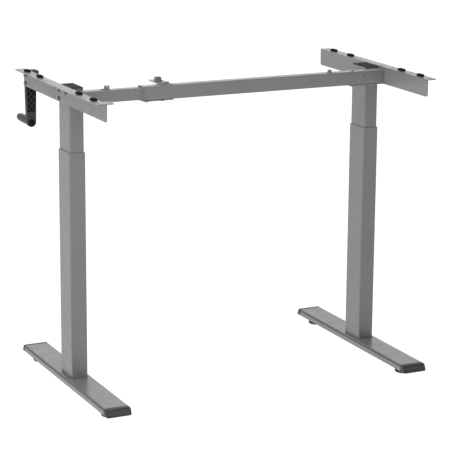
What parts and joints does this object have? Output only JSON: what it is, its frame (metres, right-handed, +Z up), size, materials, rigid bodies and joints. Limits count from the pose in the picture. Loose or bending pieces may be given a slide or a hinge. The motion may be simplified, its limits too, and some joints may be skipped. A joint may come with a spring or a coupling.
{
  "type": "height adjustable desk frame",
  "caption": "Crank-driven height adjustable desk frame without a top: telescopic legs on long feet, a telescopic crossbar and side beams.",
  "frame": {"origin": "on the floor, midway between the axes of the two legs", "axes": "+Z up; +X towards the leg with the crank, the seated user's right hand; the user sits at -Y, where the crank is"},
  "size_m": [0.971, 0.7215, 0.826],
  "materials": {
    "grey_paint": "silver grey powder coat, satin",
    "dark_plastic": "moulded dark grey plastic, fine grain",
    "white_plastic": "natural acetal, smooth",
    "zinc_steel": "zinc plated",
    "bronze": "machined",
    "cast_zinc": "die cast, dull",
    "steel": "machined steel",
    "black_rubber": "matt black rubber",
    "glide_plastic": "moulded black plastic",
    "crank_plastic": "glass filled black nylon",
    "grey_plastic": "moulded mid grey plastic, fine grain",
    "black_steel": "black oxide steel",
    "grip_plastic": "dark grey plastic, fine grain"
  },
  "bodies": {
    "right_base": {"right_foot_beam": "grey_paint", "right_foot_rear_cap": "dark_plastic", "right_foot_front_cap": "dark_plastic", "right_base_bolts": "zinc_steel", "right_lower_leg": "grey_paint", "right_guide_bush": "white_plastic", "right_nut_tube": "zinc_steel", "right_lift_nut": "bronze"},
    "right_head": {"right_upper_tube": "grey_paint", "right_slide_shoe": "white_plastic", "right_top_cap": "dark_plastic", "right_gearbox_housing": "cast_zinc", "right_gearbox_bearings": "steel", "right_beam_pads": "black_rubber", "right_end_bracket": "grey_paint", "right_side_beam": "grey_paint", "right_frame_bolts": "zinc_steel", "crossbar_inner_tube": "grey_paint", "crossbar_packing_strip": "zinc_steel", "crank_bearing_block": "dark_plastic"},
    "crank": {"crank_shaft": "steel", "crank_pinion": "steel", "crank_arm": "crank_plastic", "crank_grip_pin": "black_steel"},
    "crank_grip_body": {"crank_grip": "grip_plastic"},
    "right_screw": {"right_lead_screw": "steel", "right_crown_gear": "steel"},
    "cross_rod": {"cross_shaft_hex_rod": "steel", "right_cross_pinion": "steel"},
    "left_head": {"left_upper_tube": "grey_paint", "left_slide_shoe": "white_plastic", "left_top_cap": "dark_plastic", "left_gearbox_housing": "cast_zinc", "left_gearbox_bearings": "steel", "left_beam_pads": "black_rubber", "left_end_bracket": "grey_paint", "left_side_beam": "grey_paint", "left_frame_bolts": "zinc_steel", "crossbar_outer_tube": "grey_paint", "crossbar_collar": "grey_plastic", "crossbar_clamp_plate": "grey_paint", "crossbar_clamp_bolts": "zinc_steel", "middle_support_tab": "grey_paint", "middle_support_pad": "grey_plastic"},
    "left_screw": {"left_lead_screw": "steel", "left_crown_gear": "steel"},
    "cross_sleeve": {"cross_shaft_sleeve": "steel", "left_cross_pinion": "steel"},
    "left_base": {"left_foot_beam": "grey_paint", "left_foot_rear_cap": "dark_plastic", "left_foot_front_cap": "dark_plastic", "left_base_bolts": "zinc_steel", "left_lower_leg": "grey_paint", "left_guide_bush": "white_plastic", "left_nut_tube": "zinc_steel", "left_lift_nut": "bronze"},
    "right_front_glide_body": {"right_front_glide": "glide_plastic"},
    "right_rear_glide_body": {"right_rear_glide": "glide_plastic"},
    "left_front_glide_body": {"left_front_glide": "glide_plastic"},
    "left_rear_glide_body": {"left_rear_glide": "glide_plastic"}
  },
  "joints": [
    {"name": "crank_turn", "type": "hinge", "parent": "right_head", "child": "crank", "pos_m": [0.437, -0.31, 0.793], "axis": [0, 1, 0], "range_deg": [-11160, 27000]},
    {"name": "right_lift", "type": "slide", "parent": "right_base", "child": "right_head", "axis": [0, 0, 1], "range_m": [-0.124, 0.3]},
    {"name": "grip_spin", "type": "hinge", "parent": "crank", "child": "crank_grip_body", "pos_m": [0.437, -0.36, 0.668], "axis": [0, 1, 0], "continuous": true},
    {"name": "right_screw_turn", "type": "hinge", "parent": "right_head", "child": "right_screw", "pos_m": [0.437, 0, 0.793], "axis": [0, 0, 1], "range_deg": [-13500, 5580]},
    {"name": "cross_rod_turn", "type": "hinge", "parent": "right_head", "child": "cross_rod", "pos_m": [0.437, 0, 0.793], "axis": [1, 0, 0], "range_deg": [-11160, 27000]},
    {"name": "frame_width", "type": "slide", "parent": "right_head", "child": "left_head", "axis": [-1, 0, 0], "range_m": [-0.07, 0.35]},
    {"name": "left_screw_turn", "type": "hinge", "parent": "left_head", "child": "left_screw", "pos_m": [-0.437, 0, 0.793], "axis": [0, 0, 1], "range_deg": [-5580, 13500]},
    {"name": "cross_sleeve_turn", "type": "hinge", "parent": "left_head", "child": "cross_sleeve", "pos_m": [-0.437, 0, 0.793], "axis": [1, 0, 0], "range_deg": [-11160, 27000]},
    {"name": "left_lift", "type": "slide", "parent": "left_head", "child": "left_base", "axis": [0, 0, -1], "range_m": [-0.124, 0.3]},
    {"name": "right_front_glide_height", "type": "slide", "parent": "right_base", "child": "right_front_glide_body", "axis": [0, 0, 1], "range_m": [-0.004, 0.0045]},
    {"name": "right_rear_glide_height", "type": "slide", "parent": "right_base", "child": "right_rear_glide_body", "axis": [0, 0, 1], "range_m": [-0.004, 0.0045]},
    {"name": "left_front_glide_height", "type": "slide", "parent": "left_base", "child": "left_front_glide_body", "axis": [0, 0, 1], "range_m": [-0.004, 0.0045]},
    {"name": "left_rear_glide_height", "type": "slide", "parent": "left_base", "child": "left_rear_glide_body", "axis": [0, 0, 1], "range_m": [-0.004, 0.0045]}
  ],
  "couplings": [
    {"joint": "left_lift", "follows": "right_lift", "ratio": 1},
    {"joint": "crank_turn", "follows": "right_lift", "rad_per_m": 1570.8},
    {"joint": "right_screw_turn", "follows": "right_lift", "rad_per_m": -785.4},
    {"joint": "left_screw_turn", "follows": "right_lift", "rad_per_m": 785.4},
    {"joint": "cross_rod_turn", "follows": "right_lift", "rad_per_m": 1570.8},
    {"joint": "cross_sleeve_turn", "follows": "right_lift", "rad_per_m": 1570.8}
  ]
}
